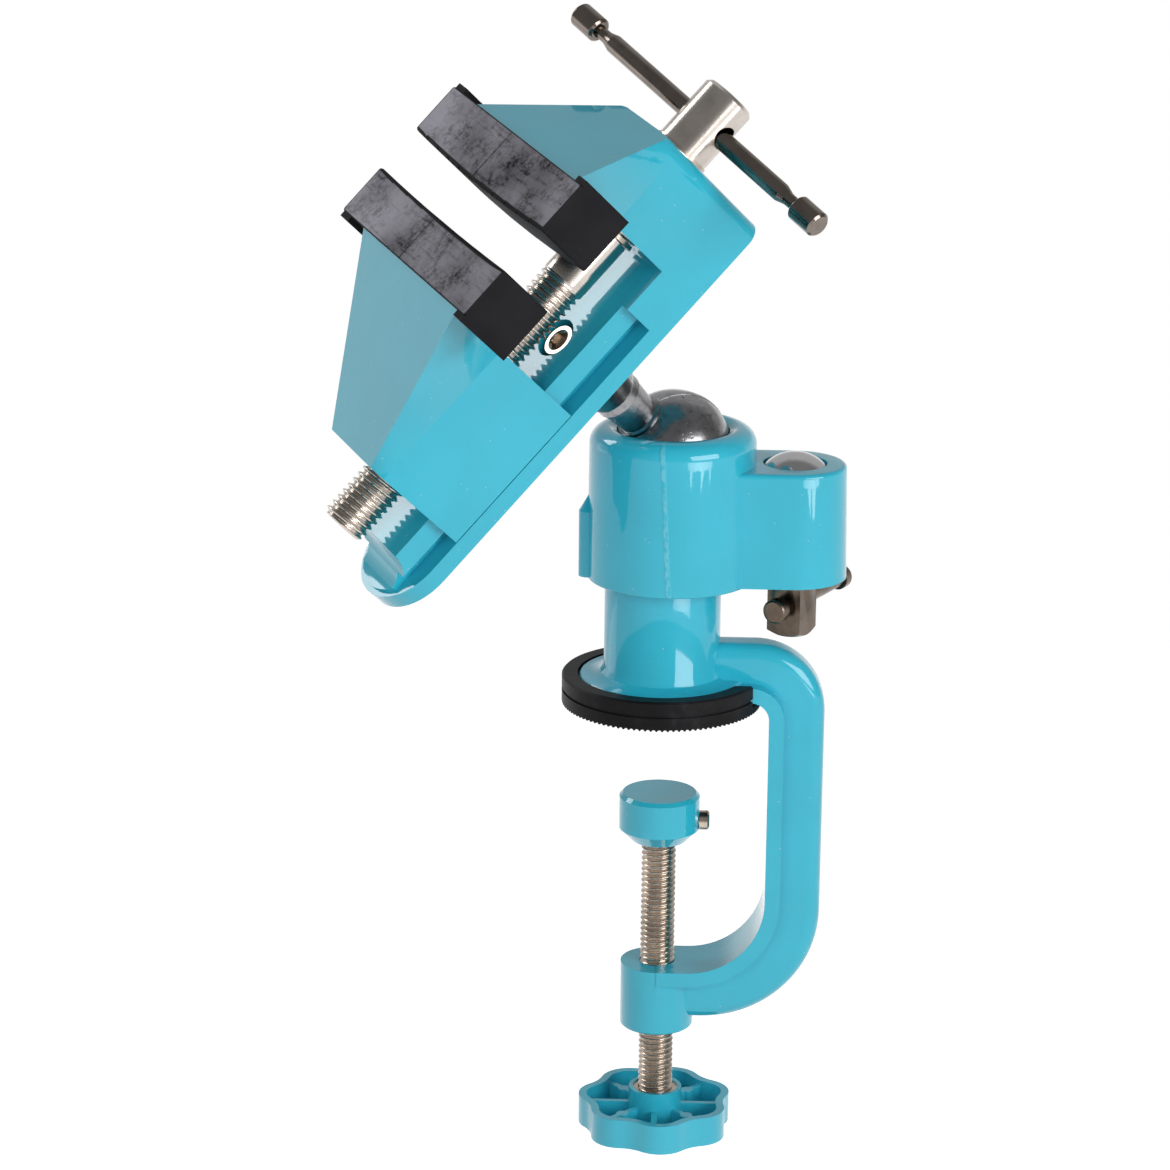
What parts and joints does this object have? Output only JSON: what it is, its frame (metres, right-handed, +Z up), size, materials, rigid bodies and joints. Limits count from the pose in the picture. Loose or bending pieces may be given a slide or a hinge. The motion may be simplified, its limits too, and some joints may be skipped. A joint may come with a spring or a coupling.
{
  "type": "ball vise",
  "caption": "Clamp-on ball vise: a screw vise with rubber jaw pads and a sliding handle, on a ball joint in a clamped socket above a C-clamp",
  "frame": {"origin": "centre of the underside of the rubber foot, on the bench top", "axes": "+Z up along the post; +X toward the upright of the C-clamp and the clamping lug; +Y away from the viewer. The vise head is stored leaning 47.9 degrees toward 217.7 degrees from +X, as pictured."},
  "size_m": [0.1377, 0.1101, 0.3102],
  "materials": {
    "enamel": "gloss teal enamel on castings",
    "rubber": "moulded black rubber",
    "plated_steel": "nickel-plated turned steel",
    "bright_steel": "bright nickel plate on turned steel",
    "cast_ball": "scuffed bare metal with a parting band",
    "seat_plastic": "plain moulded cup, never seen",
    "knob_plastic": "gloss teal moulding"
  },
  "bodies": {
    "clamp": {"clamp_frame": "enamel", "base_foot": "rubber"},
    "pad": {"pressure_pad": "enamel", "pad_screw": "plated_steel"},
    "screw": {"clamp_screw": "plated_steel", "knob": "knob_plastic", "knob_insert": "plated_steel"},
    "socket": {"socket_housing": "enamel", "lock_bolt": "plated_steel"},
    "shoe": {"clamp_shoe": "plated_steel", "lock_washer": "plated_steel"},
    "nut": {"lock_nut": "plated_steel"},
    "lock_bar": {"lock_bar": "plated_steel", "lock_bar_caps": "plated_steel"},
    "seat": {"ball_seat": "seat_plastic"},
    "ball": {"ball_stud": "cast_ball", "stud_spacer": "bright_steel", "stud_washer": "plated_steel", "stud_screw": "plated_steel"},
    "head": {"vise_body": "enamel", "fixed_pad": "rubber"},
    "jaw": {"moving_jaw": "enamel", "moving_pad": "rubber"},
    "spindle": {"spindle": "bright_steel", "retaining_ring": "plated_steel", "thrust_washer": "plated_steel"},
    "tommy": {"tommy_bar": "bright_steel", "tommy_bar_caps": "bright_steel"}
  },
  "joints": [
    {"name": "clamp_travel", "type": "slide", "parent": "clamp", "child": "pad", "axis": [0, 0, 1], "range_m": [-0.035, 0.018]},
    {"name": "clamp_turn", "type": "hinge", "parent": "pad", "child": "screw", "pos_m": [0, 0, -0.06], "axis": [0, 0, 1], "range_deg": [-7945, 4086]},
    {"name": "socket_turn", "type": "hinge", "parent": "clamp", "child": "socket", "pos_m": [0, 0, 0.045], "axis": [0, 0, 1], "continuous": true},
    {"name": "shoe_press", "type": "slide", "parent": "socket", "child": "shoe", "axis": [0, 0, 1], "range_m": [-0.0005, 0]},
    {"name": "nut_turn", "type": "hinge", "parent": "shoe", "child": "nut", "pos_m": [0.0347, 0, 0.03], "axis": [0, 0, 1], "range_deg": [-145, 1]},
    {"name": "lock_bar_slip", "type": "slide", "parent": "nut", "child": "lock_bar", "axis": [0.4617, 0.887, 0], "range_m": [-0.007, 0.0024]},
    {"name": "ball_azimuth", "type": "hinge", "parent": "socket", "child": "seat", "pos_m": [0.0021, 0, 0.071], "axis": [0, 0, 1], "continuous": true},
    {"name": "ball_tilt", "type": "hinge", "parent": "seat", "child": "ball", "pos_m": [0.0021, 0, 0.071], "axis": [0.6115, -0.7912, 0], "range_deg": [-47.9, 0.5]},
    {"name": "ball_spin", "type": "hinge", "parent": "ball", "child": "head", "pos_m": [0.0021, 0, 0.071], "axis": [-0.5871, -0.4537, 0.6704], "continuous": true},
    {"name": "jaw_travel", "type": "slide", "parent": "head", "child": "jaw", "axis": [0.6569, 0.217, 0.7221], "range_m": [-0.036, 0.0122]},
    {"name": "spindle_turn", "type": "hinge", "parent": "head", "child": "spindle", "pos_m": [-0.0343, -0.02813, 0.11257], "axis": [0.6569, 0.217, 0.7221], "range_deg": [-2250, 6640]},
    {"name": "tommy_slip", "type": "slide", "parent": "spindle", "child": "tommy", "axis": [-0.6275, 0.6518, 0.4258], "range_m": [-0.0365, 0.029]}
  ],
  "couplings": [
    {"joint": "clamp_turn", "follows": "clamp_travel", "rad_per_m": 3957.9},
    {"joint": "nut_turn", "follows": "shoe_press", "rad_per_m": 5026.5},
    {"joint": "spindle_turn", "follows": "jaw_travel", "rad_per_m": -3215.8}
  ]
}
